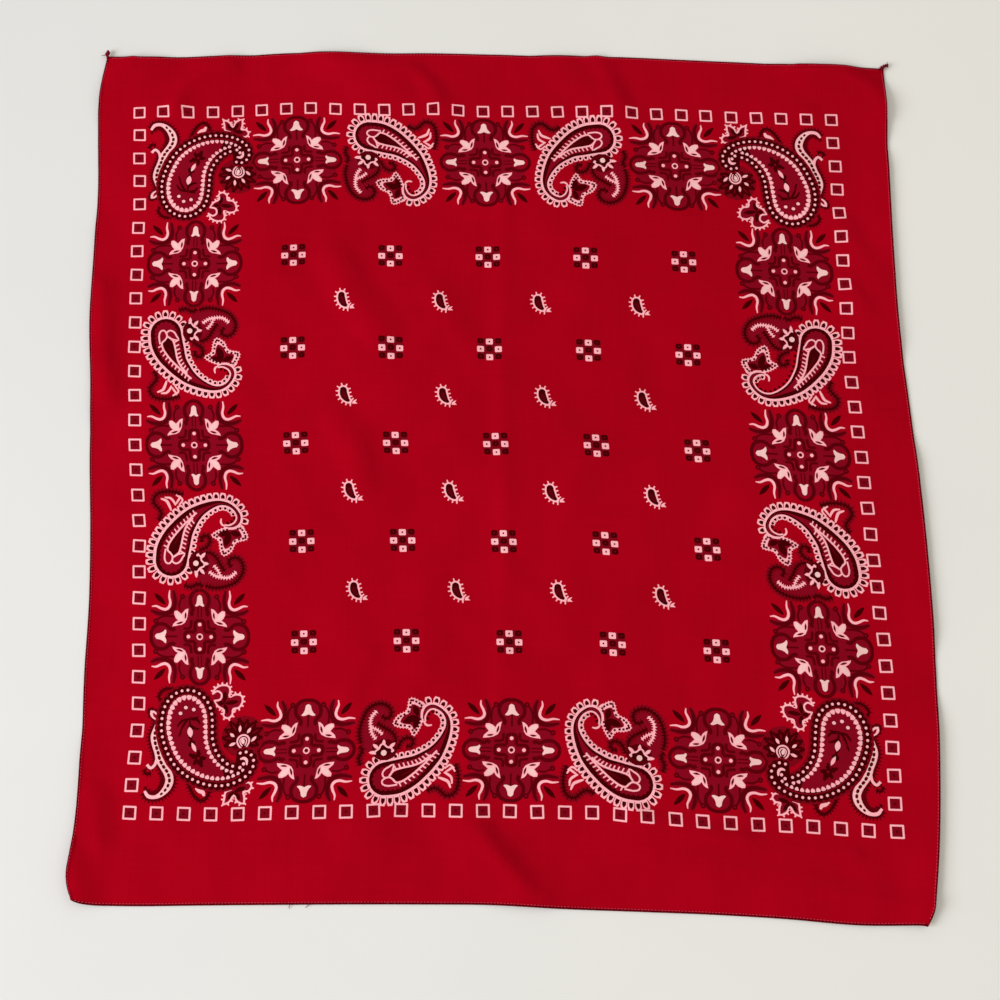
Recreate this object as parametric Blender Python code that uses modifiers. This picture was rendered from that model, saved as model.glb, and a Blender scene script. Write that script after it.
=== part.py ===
"""A square bandana of thin printed cotton, laid flat with its margins a little rippled.

Metres, +Z up, +Y towards the top edge. The origin is under the middle of the cloth, on
the surface that it lies on. The cloth is one panel with a narrow turned hem along each
of its four sides. Every piece is a grid primitive whose points are moved to places on
the laid cloth, and a Solidify modifier gives the grid its wall.
"""

import bpy
import numpy as np

MM = 0.001

# The finished cloth along its top edge and down its left edge.
CLOTH_WIDTH = 555.0 * MM
CLOTH_HEIGHT = 587.0 * MM

# The cloth's wall, and the double turned hem round it.
CLOTH_WALL = 1.0 * MM
HEM_WIDTH = 2.6 * MM
HEM_WALL = 1.6 * MM
HEM_ROUNDING = 0.45 * MM
SEAM_GAP = 0.3 * MM

# About how far apart the grid's lines are.
GRID_STEP = 12.0 * MM

# The four corners that the cloth's sides run to as it lies, a little out of square.
CORNERS_MM = {
    "bottom_left": (-273.0, -292.3),
    "bottom_right": (275.3, -299.2),
    "top_left": (-284.7, 293.2),
    "top_right": (272.2, 287.1),
}

# How far each side bows outwards from the straight line between its corners, at thirteen
# even places. The left and right sides run upwards, the bottom and top ones to the right.
SIDE_BOWS_MM = {
    "left": (0.0, -6.8, -8.3, -7.8, -8.6, -7.1, -4.4, -3.0, -0.1, -0.7, -1.0, 1.1, 0.0),
    "right": (0.0, 5.9, 9.1, 10.5, 10.3, 8.9, 6.3, 2.8, -0.9, -2.0, -2.2, -1.9, 0.0),
    "bottom": (0.0, -0.1, -1.6, -3.0, -4.3, -5.3, -5.9, -4.5, -3.9, -3.2, -1.6, 1.1, 0.0),
    "top": (0.0, 3.3, 4.4, 7.4, 7.1, 7.6, 6.8, 5.5, 5.2, 3.1, 1.1, -1.7, 0.0),
}

# The hem's sewing draws each corner in: how far in x and y, and how far round it reaches.
CORNER_PULLS_MM = {
    "bottom_left": ((8.1, 2.5), 26.0),
    "bottom_right": ((-4.4, -0.9), 12.7),
    "top_left": ((3.2, 3.7), 42.0),
    "top_right": ((-2.2, -2.9), 47.0),
}

# Soft ridges where the cloth stands off the surface. Each runs along the line from start
# to end and falls away to nothing at its half width.
# name, start x y, end x y, half width, height
FOLDS_MM = (
    ("top left corner", (-290.0, 260.0), (-254.0, 298.0), 24.0, 3.0),
    ("top margin, left end", (-240.0, 250.0), (-196.0, 294.0), 22.0, 2.0),
    ("top margin, left of middle", (-122.0, 298.0), (-44.0, 254.0), 24.0, 2.6),
    ("top margin, right of middle", (41.0, 296.0), (80.0, 250.0), 22.0, 2.2),
    ("top right corner", (208.0, 294.0), (274.0, 246.0), 24.0, 3.0),
    ("left side, upper", (-284.0, 160.0), (-276.0, 40.0), 24.0, 2.0),
    ("bottom left corner", (-272.0, -205.0), (-266.0, -286.0), 28.0, 3.5),
    ("bottom margin, middle", (-16.0, -245.0), (26.0, -294.0), 24.0, 2.8),
    ("bottom margin, right", (92.0, -254.0), (236.0, -286.0), 26.0, 2.2),
    ("right side, upper", (274.0, 205.0), (276.0, 90.0), 26.0, 2.5),
    ("right side, middle", (284.0, -5.0), (287.0, -110.0), 26.0, 2.5),
    ("right side, lower", (288.0, -185.0), (276.0, -296.0), 34.0, 3.2),
)

RED_COTTON = (0.39, 0.0, 0.012, 1.0)
HEM_RED = (0.34, 0.0, 0.010, 1.0)


def smooth_row(values, place):
    """A smooth curve through evenly spaced values, read at places from 0 to 1.

    Between two values it is the cubic whose slope at each is that of its neighbours.
    """
    values = np.asarray(values)
    last = len(values) - 1
    along = np.clip(place, 0.0, 1.0) * last
    step = np.minimum(along.astype(int), last - 1)
    part = along - step
    slope = np.gradient(values)
    rise = part * part * (3.0 - 2.0 * part)
    leave = part * (1.0 - part) ** 2
    arrive = part * part * (part - 1.0)
    return (
        values[step] * (1.0 - rise)
        + values[step + 1] * rise
        + slope[step] * leave
        + slope[step + 1] * arrive
    )


def cloth_plan(across, up):
    """Where a point of the flat cloth lies on the surface, as x and y in millimetres.

    across runs from 0 at the left edge to 1 at the right, and up from 0 at the bottom edge
    to 1 at the top. The four corners are blended evenly, and each side's bow fades out
    towards the opposite side. A corner's pull fades as the square of what is left of its
    reach.
    """
    corner = {name: np.array(place) for name, place in CORNERS_MM.items()}
    bottom = np.multiply.outer(1.0 - across, corner["bottom_left"])
    bottom = bottom + np.multiply.outer(across, corner["bottom_right"])
    top = np.multiply.outer(1.0 - across, corner["top_left"])
    top = top + np.multiply.outer(across, corner["top_right"])
    plan = bottom * (1.0 - up)[..., None] + top * up[..., None]
    bow = SIDE_BOWS_MM
    left_bow = smooth_row(bow["left"], up) * (1.0 - across)
    right_bow = smooth_row(bow["right"], up) * across
    bottom_bow = smooth_row(bow["bottom"], across) * (1.0 - up)
    top_bow = smooth_row(bow["top"], across) * up
    plan[..., 0] += right_bow - left_bow
    plan[..., 1] += top_bow - bottom_bow
    pulls = np.zeros_like(plan)
    for name, (pull, reach) in CORNER_PULLS_MM.items():
        distance = np.linalg.norm(plan - corner[name], axis=-1)
        pulls += np.multiply.outer(np.clip(1.0 - distance / reach, 0.0, None) ** 2, pull)
    return plan + pulls


def cloth_middle():
    """The middle of the cloth's own box, in millimetres, which the origin is put under."""
    edge = np.linspace(0.0, 1.0, 401)
    low, high = np.zeros_like(edge), np.ones_like(edge)
    sides = (cloth_plan(edge, low), cloth_plan(edge, high))
    sides = sides + (cloth_plan(low, edge), cloth_plan(high, edge))
    outline = np.concatenate(sides)
    return (outline.min(axis=0) + outline.max(axis=0)) / 2.0


def cloth_lift(plan):
    """How far the cloth stands off the surface, in millimetres.

    Each fold adds its height times (1 - (d / w) squared) squared, where d is the distance
    to its line and w its half width.
    """
    lift = np.zeros(plan.shape[:-1])
    for _, start, end, half_width, height in FOLDS_MM:
        start, run = np.array(start), np.subtract(end, start)
        along = np.clip((plan - start) @ run / (run @ run), 0.0, 1.0)
        nearest = start + along[..., None] * run
        distance = np.linalg.norm(plan - nearest, axis=-1)
        lift += height * np.clip(1.0 - (distance / half_width) ** 2, 0.0, None) ** 2
    return lift


def laid_points(across, up):
    """The cloth's underside in space, in metres, above the points across and up."""
    plan = cloth_plan(across, up)
    place = plan - cloth_middle()
    return np.concatenate((place, cloth_lift(plan)[..., None]), axis=-1) * MM


def grid_lines(size, inset):
    """Grid lines as parts of the cloth's size, with the first and last one inset."""
    count = round(size / GRID_STEP)
    return np.linspace(inset / size, 1.0 - inset / size, count + 1)


def laid_grid(name, across_lines, up_lines):
    """A grid primitive whose lines are moved to their places on the laid cloth."""
    bpy.ops.mesh.primitive_grid_add(
        x_subdivisions=len(across_lines) - 1,
        y_subdivisions=len(up_lines) - 1,
        size=2.0,
    )
    grid = bpy.context.object
    grid.name = name
    grid.data.name = name
    points = np.empty(len(grid.data.vertices) * 3)
    grid.data.vertices.foreach_get("co", points)
    square = (points.reshape(-1, 3)[:, :2] + 1.0) / 2.0
    column = np.rint(square[:, 0] * (len(across_lines) - 1)).astype(int)
    row = np.rint(square[:, 1] * (len(up_lines) - 1)).astype(int)
    laid = laid_points(across_lines[column], up_lines[row])
    grid.data.vertices.foreach_set("co", laid.ravel())
    return grid


def give_wall(piece, wall):
    """Gives an open grid its wall, which grows upwards from the underside."""
    solidify = piece.modifiers.new("Wall", "SOLIDIFY")
    solidify.thickness = wall
    solidify.offset = 1.0
    solidify.use_even_offset = True


def round_edges(piece, width):
    """Rounds a hem's long edges, where the cloth turns over."""
    bevel = piece.modifiers.new("Turned edge", "BEVEL")
    bevel.width = width
    bevel.segments = 1
    bevel.limit_method = "ANGLE"


def cotton(name, colour, roughness):
    """A plain cotton material."""
    material = bpy.data.materials.new(name)
    material.use_nodes = True
    shader = material.node_tree.nodes["Principled BSDF"]
    shader.inputs["Base Color"].default_value = colour
    shader.inputs["Roughness"].default_value = roughness
    shader.inputs["Metallic"].default_value = 0.0
    return material


def make_panel(material):
    """The printed square, inside the four hems."""
    inset = HEM_WIDTH + SEAM_GAP
    across_lines = grid_lines(CLOTH_WIDTH, inset)
    up_lines = grid_lines(CLOTH_HEIGHT, inset)
    panel = laid_grid("cloth_panel", across_lines, up_lines)
    give_wall(panel, CLOTH_WALL)
    panel.data.materials.append(material)
    return panel


def make_hem(side, material):
    """One hem: a strip as wide as HEM_WIDTH that shares the panel's grid lines.

    The top and bottom hems run the full width, and the side hems stand between them.
    """
    lengthwise_across = grid_lines(CLOTH_WIDTH, HEM_WIDTH + SEAM_GAP)
    lengthwise_across[[0, -1]] = 0.0, 1.0
    lengthwise_up = grid_lines(CLOTH_HEIGHT, HEM_WIDTH + SEAM_GAP)
    narrow_across = np.array((0.0, HEM_WIDTH / CLOTH_WIDTH))
    narrow_up = np.array((0.0, HEM_WIDTH / CLOTH_HEIGHT))
    lines = {
        "left": (narrow_across, lengthwise_up),
        "right": (1.0 - narrow_across[::-1], lengthwise_up),
        "bottom": (lengthwise_across, narrow_up),
        "top": (lengthwise_across, 1.0 - narrow_up[::-1]),
    }
    hem = laid_grid(f"hem_{side}", *lines[side])
    give_wall(hem, HEM_WALL)
    round_edges(hem, HEM_ROUNDING)
    hem.data.materials.append(material)
    return hem


def gather(pieces, name):
    """Moves the pieces into a collection of their own."""
    collection = bpy.data.collections.new(name)
    bpy.context.scene.collection.children.link(collection)
    for piece in pieces:
        for other in piece.users_collection:
            other.objects.unlink(piece)
        collection.objects.link(piece)


def main():
    for leftover in list(bpy.data.objects):
        bpy.data.objects.remove(leftover, do_unlink=True)
    cloth = cotton("red_cotton", RED_COTTON, 0.9)
    hemming = cotton("hem_cotton", HEM_RED, 0.9)
    pieces = [make_panel(cloth)]
    pieces += [make_hem(side, hemming) for side in SIDE_BOWS_MM]
    gather(pieces, "bandana")


main()
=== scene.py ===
"""The looks of the bandana: its printed cloth, rolled hems, stitches and thread ends.

The cloth is drawn flat, in millimetres about the middle of its print. Each motif is a list
of inked shapes, and the cloth's face is cut along their edges, so that the print is part of
the cloth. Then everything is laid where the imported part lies, folds and all.
"""

import bpy
import numpy as np
from mathutils import Euler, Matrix
from mathutils.geometry import delaunay_2d_cdt


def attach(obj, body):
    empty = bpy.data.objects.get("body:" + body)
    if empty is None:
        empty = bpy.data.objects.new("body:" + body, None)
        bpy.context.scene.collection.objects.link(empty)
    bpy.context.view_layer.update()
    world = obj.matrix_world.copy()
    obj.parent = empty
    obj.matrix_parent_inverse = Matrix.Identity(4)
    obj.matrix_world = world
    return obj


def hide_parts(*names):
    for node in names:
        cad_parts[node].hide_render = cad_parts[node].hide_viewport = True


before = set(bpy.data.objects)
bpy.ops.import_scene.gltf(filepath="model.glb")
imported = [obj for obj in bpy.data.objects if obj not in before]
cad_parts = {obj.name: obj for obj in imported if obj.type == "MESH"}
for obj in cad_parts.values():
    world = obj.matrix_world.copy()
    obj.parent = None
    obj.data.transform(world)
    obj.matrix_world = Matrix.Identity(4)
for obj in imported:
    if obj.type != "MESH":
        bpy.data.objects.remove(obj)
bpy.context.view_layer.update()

MM = 0.001

# ---------------------------------------------------------------- the cloth as it lies

# The finished cloth along its top edge and down its left edge.
CLOTH_WIDTH = 555.0
CLOTH_HEIGHT = 587.0

# The thickness of the cloth, and of the edge that is turned over twice and stitched.
CLOTH_WALL = 0.5
HEM_WIDTH = 2.6
HEM_WALL = 1.0
CLOTH_INSET = 1.1

# The four corners that the cloth's sides run to, a little out of square.
CORNERS = {
    "bottom_left": (-273.0, -292.3),
    "bottom_right": (275.3, -299.2),
    "top_left": (-284.7, 293.2),
    "top_right": (272.2, 287.1),
}

# How far each side bows outwards from the straight line between its corners, at thirteen
# even places. The left and right sides run upwards, the bottom and top ones to the right.
SIDE_BOWS = {
    "left": (0.0, -6.8, -8.3, -7.8, -8.6, -7.1, -4.4, -3.0, -0.1, -0.7, -1.0, 1.1, 0.0),
    "right": (0.0, 5.9, 9.1, 10.5, 10.3, 8.9, 6.3, 2.8, -0.9, -2.0, -2.2, -1.9, 0.0),
    "bottom": (0.0, -0.1, -1.6, -3.0, -4.3, -5.3, -5.9, -4.5, -3.9, -3.2, -1.6, 1.1, 0.0),
    "top": (0.0, 3.3, 4.4, 7.4, 7.1, 7.6, 6.8, 5.5, 5.2, 3.1, 1.1, -1.7, 0.0),
}

# The hem's sewing draws each corner in: how far in x and y, and how far round it reaches.
CORNER_PULLS = {
    "bottom_left": ((8.1, 2.5), 26.0),
    "bottom_right": ((-4.4, -0.9), 12.7),
    "top_left": ((3.2, 3.7), 42.0),
    "top_right": ((-2.2, -2.9), 47.0),
}

# Soft ridges where the cloth stands off the surface: the line, its half width and height.
FOLDS = {
    "top left corner": (((-290, 260), (-254, 298)), 24.0, 3.0),
    "top margin, left end": (((-240, 250), (-196, 294)), 22.0, 2.0),
    "top margin, left of middle": (((-122, 298), (-44, 254)), 24.0, 2.6),
    "top margin, right of middle": (((41, 296), (80, 250)), 22.0, 2.2),
    "top right corner": (((208, 294), (274, 246)), 24.0, 3.0),
    "left side, upper": (((-284, 160), (-276, 40)), 24.0, 2.0),
    "bottom left corner": (((-272, -205), (-266, -286)), 28.0, 3.5),
    "bottom margin, middle": (((-16, -245), (26, -294)), 24.0, 2.8),
    "bottom margin, right": (((92, -254), (236, -286)), 26.0, 2.2),
    "right side, upper": (((274, 205), (276, 90)), 26.0, 2.5),
    "right side, middle": (((284, -5), (287, -110)), 26.0, 2.5),
    "right side, lower": (((288, -185), (276, -296)), 34.0, 3.2),
}

# Finer creases that only the face shows, some of them bent.
CREASES = {
    "middle fold": (((3, 185), (3, 90), (4, 20), (6, -42), (6, -122), (4, -161)), 8.0, 1.0),
    "upper left hill": (((-112, 140), (-98, 115), (-80, 90)), 20.0, 3.6),
    "left of the field": (((-107, 26), (-93, 5), (-89, -14)), 16.0, 2.3),
    "field ridge": (((-44, 118), (-29, 96), (-17, 77)), 14.0, 1.6),
    "lower field ridge": (((-95, -160), (-87, -147), (-81, -134)), 11.0, 1.6),
    "lower field streak": (((-52, -160), (-44, -141)), 11.0, 1.5),
    "top left arc": (((-280, 264), (-277, 279), (-262, 291)), 8.0, 2.2),
    "top left ripple": (((-229, 258), (-222, 274), (-208, 285), (-193, 289)), 9.0, 3.2),
    "top ripple": (((-118, 291), (-90, 290), (-62, 286), (-50, 274), (-43, 258)), 9.0, 2.4),
    "top right ripple": (((68, 292), (78, 278), (84, 258)), 10.0, 2.5),
    "top right arc": (((212, 290), (241, 283), (262, 270), (273, 249)), 10.0, 2.7),
    "right ripple": (((238, 166), (250, 142), (260, 126)), 12.0, 2.2),
    "right spot": (((242, 118), (251, 103)), 12.0, 1.8),
    "left ripple": (((-273, 122), (-269, 78), (-264, 45)), 9.0, 2.2),
    "bottom left ripple": (((-253, -224), (-250, -254)), 12.0, 2.6),
    "bottom left edge": (((-271, -255), (-268, -272), (-263, -285)), 12.0, 2.4),
    "bottom ripple": (((-8, -244), (3, -258), (20, -277)), 10.0, 2.5),
    "bottom right ripple": (((89, -233), (127, -242), (171, -251), (227, -256)), 9.0, 2.8),
    "bottom right streak": (((105, -220), (121, -227)), 9.0, 1.4),
    "bottom right edge": (((216, -281), (242, -284), (272, -286)), 9.0, 2.2),
}

# ------------------------------------------------------------------------- the print

# Which ink a shape is printed with. Red is the cloth's own dye, and where a thin white
# line lets it through the line looks pink.
RED, ROSE, CRIMSON, MAROON, DARK, PINK, CREAM = range(7)

# The flat print's frame of squares: its half side, and how many squares to a side.
FRAME_HALF = 243.6
FRAME_SQUARES = 28

# How unevenly the squares are printed: the usual lean in degrees, and the usual shift.
SQUARE_LEAN = 1.2
SQUARE_SHIFT = 0.15

# The field's pitch, where its checks and its seeds stand in it, and how far off that.
FIELD_PITCH = (67.4, 67.1)
CHECKS = np.arange(5) - 2
SEEDS = np.arange(4) - 1.5
CHECK_SHIFT = (0.1, -0.1)
SEED_SHIFT = (0.6, 0.2)

# The border: how far from the middle its motifs stand, their pitch, and the corner's place.
BORDER = 204.2
ROSETTES = (-1, 0, 1)
ROSETTE_ROWS = BORDER + 0.4
ROSETTE_COLUMNS = BORDER - 0.9
PAISLEY_COLUMNS = BORDER - 1.4
ROW_PITCH = 132.4
COLUMN_PITCH = 129.8
CORNER = (-200.7, 202.3)

# How the flat print lies: its middle, its two directions, and how far each side of its
# frame is pushed, to the right or upwards, at nine even places.
PRINT_MIDDLE = (-0.38, 5.26)
PRINT_ACROSS = (1.0013, -0.0159)
PRINT_UP = (-0.0471, 1.0004)
PRINT_BOWS = {
    "left": (0.0, 5.1, 4.6, 4.2, 0.2, -1.2, -0.5, 1.1, 0.0),
    "right": (0.0, 2.5, 3.0, 1.0, -0.5, -2.8, -1.2, -0.5, 0.0),
    "bottom": (0.0, 0.2, 3.3, 6.2, 6.6, 7.1, 3.3, 1.8, 0.0),
    "top": (0.0, 1.5, 5.4, 3.9, 3.9, 4.4, 3.4, 1.2, 0.0),
}

# The ways that a motif is repeated: where its x and its y run.
UPRIGHT = ((1, 0), (0, 1))
QUARTER_TURNS = (UPRIGHT, ((0, 1), (-1, 0)), ((-1, 0), (0, -1)), ((0, -1), (1, 0)))
MIRRORS = (UPRIGHT, ((-1, 0), (0, 1)), ((1, 0), (0, -1)), ((-1, 0), (0, -1)))
SWAPPED_MIRRORS = tuple((up, across) for across, up in MIRRORS)

# ---------------------------------------------------------------- drawing the shapes


def curve(knots, steps=4):
    """A smooth line through the knots, with steps points from each to the next.

    Between two knots it is the cubic whose slope at each is that of its neighbours. A third
    column, such as a half width, is smoothed along with the places.
    """
    knots = np.asarray(knots, float)
    slope = np.gradient(knots, axis=0)
    part = np.arange(steps)[:, None] / steps
    rise = part * part * (3.0 - 2.0 * part)
    line = (
        knots[:-1, None] * (1.0 - rise)
        + knots[1:, None] * rise
        + slope[:-1, None] * part * (1.0 - part) ** 2
        + slope[1:, None] * part * part * (part - 1.0)
    )
    return np.vstack((line.reshape(-1, knots.shape[1]), knots[-1:]))


def left_of(line):
    """Unit vectors to the left of a line, at each of its points."""
    run = np.gradient(line[:, :2], axis=0)
    run /= np.maximum(np.linalg.norm(run, axis=1, keepdims=True), 1e-9)
    return np.stack((-run[:, 1], run[:, 0]), axis=1)


def ribbon(line, width=None):
    """The outline of a band along a line: its width, or twice the line's third column."""
    half = line[:, 2] if width is None else np.broadcast_to(width, len(line)) / 2.0
    side = left_of(line) * half[:, None]
    return np.vstack((line[:, :2] + side, (line[:, :2] - side)[::-1]))


def pen(knots, width, steps=3):
    """A stroke of even width through the knots."""
    return ribbon(curve(knots, steps), width)


def brush(knots, widest, ends, steps=3):
    """A stroke through the knots that swells from its ends to its middle as a sine."""
    line = curve(knots, steps)
    swell = np.sin(np.linspace(0.0, np.pi, len(line))).clip(0.0) ** 0.7
    return ribbon(line, ends + (widest - ends) * swell)


def disc(middle, across, up=None, corners=8):
    """A round or oval spot: across and up are its half sizes."""
    turn = (np.arange(corners) + 0.5) / corners * 2.0 * np.pi
    return np.add(middle, np.stack((across * np.cos(turn), (up or across) * np.sin(turn)), 1))


def box(middle, width, cut, tall=1.0):
    """A square spot with its corners cut off by cut. tall is its height over its width."""
    half, short = width / 2.0, width / 2.0 - cut
    quarter = np.array(((short, -half), (half, -short)))
    return np.vstack([quarter @ turn for turn in np.array(QUARTER_TURNS)]) * (1.0, tall) + middle


def leaf(foot, tip, width, bend=0.0, belly=1.0, steps=6):
    """A leaf from foot to tip: its width is a sine of its length, and bend bows its midrib.

    belly over 1 moves its widest place towards the tip, and under 1 towards the foot.
    """
    part = np.linspace(0.0, 1.0, steps)
    run = np.subtract(tip, foot)
    across = np.array((-run[1], run[0])) / np.linalg.norm(run)
    midrib = np.add(foot, part[:, None] * run) + np.sin(np.pi * part)[:, None] * bend * across
    return ribbon(midrib, width * np.sin(np.pi * part**belly).clip(0.0) ** 0.8)[1:]


def comma(rows, grow=0.0, steps=4):
    """The edge of a comma: from its tail along its left side, round its head and back.

    Each row is a place on its backbone and the half width there, from the head's middle to the
    tail's tip, and the head is closed by a half circle. grow widens it all round.
    """
    bone = curve(rows, steps)
    half = (bone[:, 2] + grow).clip(0.0)
    left = left_of(bone)
    turn = np.linspace(0.0, np.pi, 3 * steps)[1:-1, None]
    back = np.array((-left[0, 1], left[0, 0]))
    head = bone[0, :2] + half[0] * (np.cos(turn) * left[0] + np.sin(turn) * back)
    side = left * half[:, None]
    return np.vstack(((bone[:, :2] + side)[::-1], head, bone[:, :2] - side))[::-1]


def mirrored(*half):
    """A small profile from the points of its left half, which its right half mirrors."""
    half = np.array(half)
    return np.vstack((half, half[::-1] * (-1, 1)))


def heading(degrees):
    """The unit vector that points so many degrees round from the x axis."""
    turn = np.radians(degrees)
    return np.array((np.cos(turn), np.sin(turn)))


def along(line, pitch):
    """Even places along a line about a pitch apart: place, unit ahead, unit left, part of length."""
    line = line[:, :2]
    steps = np.linalg.norm(np.diff(line, axis=0), axis=1)
    reach = np.concatenate(([0.0], np.cumsum(steps)))
    count = max(round(reach[-1] / pitch), 1)
    part = (np.arange(count) + 0.5) / count
    both = np.hstack((line, left_of(line)))
    place = np.stack([np.interp(part * reach[-1], reach, column) for column in both.T], 1)
    left = place[:, 2:] / np.linalg.norm(place[:, 2:], axis=1, keepdims=True)
    return place[:, :2], np.stack((left[:, 1], -left[:, 0]), 1), left, part


def march(shapes, line, pitch, wide=(1.0,), tall=None):
    """Repeats small shapes along a line: their x runs along it and their y to its left.

    wide and tall hold their scale along the line and off it, at even steps from its start to
    its end. Without tall, it is wide's. Each shape's whole row comes before the next one's.
    """
    place, ahead, left, part = along(line, pitch)
    across, up = (
        np.interp(part, np.linspace(0.0, 1.0, len(size)), size)[:, None, None]
        for size in (wide, tall or wide)
    )
    return [
        (ink, one)
        for ink, outline in shapes
        for one in place[:, None]
        + across * outline[:, :1] * ahead[:, None]
        + up * outline[:, 1:] * left[:, None]
    ]


def edged(line, profile, pitch, size=(1.0,)):
    """A line's left edge with a small profile of x along it and y off it, again and again."""
    place, ahead, left, part = along(line, pitch)
    tall = np.interp(part, np.linspace(0.0, 1.0, len(size)), size)[:, None, None]
    points = place[:, None] + profile[:, :1] * ahead[:, None] + tall * profile[:, 1:] * left[:, None]
    return points.reshape(-1, 2)


def furred(line, width, hair, pitch=2.2):
    """The outline of a stroke with pointed hairs down both sides."""
    fur = np.array(((-0.5, width / 2.0), (0.25, width / 2.0 + hair), (0.5, width / 2.0)))
    there, back = edged(line, fur, pitch), edged(line[::-1], fur, pitch)
    return np.vstack((line[:1, :2], there, line[-1:, :2], back))


def jagged(foot, tip, width, hair, hairs):
    """A pointed leaf from foot to tip with so many hairs down each side."""
    part = np.linspace(0.0, 1.0, 2 * hairs + 1)
    half = width / 2.0 * np.sin(np.pi * part**0.8)
    half[1::2] += hair
    return ribbon(np.column_stack((np.add(foot, part[:, None] * np.subtract(tip, foot)), half)))[:-1]


def backed(line, edge, width=0.8):
    """The outline from an edge along a line's left to the line moved to its right by half a width."""
    return np.vstack((edge, (line[:, :2] - left_of(line) * width / 2.0)[::-1]))


def hairy(line, width, hair, pitch):
    """The outline of a stroke with blunt hairs on its left side."""
    fur = mirrored((-0.65, 0.0), (-0.35, hair)) + (0.0, width / 2.0)
    return backed(line, edged(line, fur, pitch), width)


def turned(shapes, across, up, offset=(0.0, 0.0)):
    """Shapes with their x laid along across and their y along up, moved by offset."""
    return [(ink, outline @ np.array((across, up)) + offset) for ink, outline in shapes]


def little_seed():
    """A small dark seed in a white outline with short hairs, and a forked tip."""
    rows = (
        (-0.4, 2.6, 3.5), (-0.4, 0.4, 3.7), (0.3, -1.8, 3.6), (1.6, -3.8, 2.9), (3.4, -5.2, 1.9),
        (5.6, -6.1, 1.0),
    )
    hair = mirrored((-0.5, 0.0), (-0.4, 1.7))
    fork = np.array(((5.2, -6.9), (8.7, -6.9), (7.4, -5.4), (8.6, -3.8), (6.8, -4.3), (5.4, -5.4)))
    return [
        (PINK, edged(comma(rows, steps=3), hair, 2.7)),
        (PINK, fork),
        (DARK, comma(rows[:-1], -1.15, 3)),
        (MAROON, comma(rows[1:4], -2.2, 2)),
    ]


def check():
    """Nine little squares, white and dark by turns, each with a spot."""
    shapes = [(CRIMSON, box((0.0, -0.1), 16.6, 1.4, 0.9))]
    for column in (-1, 0, 1):
        for row in (-1, 0, 1):
            place = np.array((6.05 * column, 5.6 * row))
            if (column + row) % 2:
                place -= (0.0, 0.4)
                shapes += [(PINK, box(place, 4.7, 0.5, 0.88)), (MAROON, disc(place, 0.8, corners=4))]
            else:
                shapes += [(DARK, box(place, 4.3, 0.9, 0.88)), (CRIMSON, disc(place, 0.6, corners=4))]
    return shapes


def frame_square():
    """One small square of the frame: a white outline on wine red."""
    return [
        (PINK, box((0, 0), 8.7, 0.35)),
        (CRIMSON, box((0, 0), 6.35, 0.15)),
        (MAROON, disc((0, 0), 1.0, corners=4)),
    ]


def bell(foot, tip, spread, waist):
    """A bell flower standing on the +y axis, with a notch in its foot and its lips spread."""
    tall = tip - foot
    knots = (
        (0.0, foot + 0.14 * tall),
        (0.6 * spread, foot),
        (spread, foot + 0.07 * tall),
        (0.7 * spread, foot + 0.26 * tall),
        (waist, foot + 0.55 * tall),
        (0.8 * waist, foot + 0.86 * tall),
        (0.0, tip),
    )
    half = curve(knots, 2)
    return np.vstack((half, half[-2:0:-1] * (-1, 1)))


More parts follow.
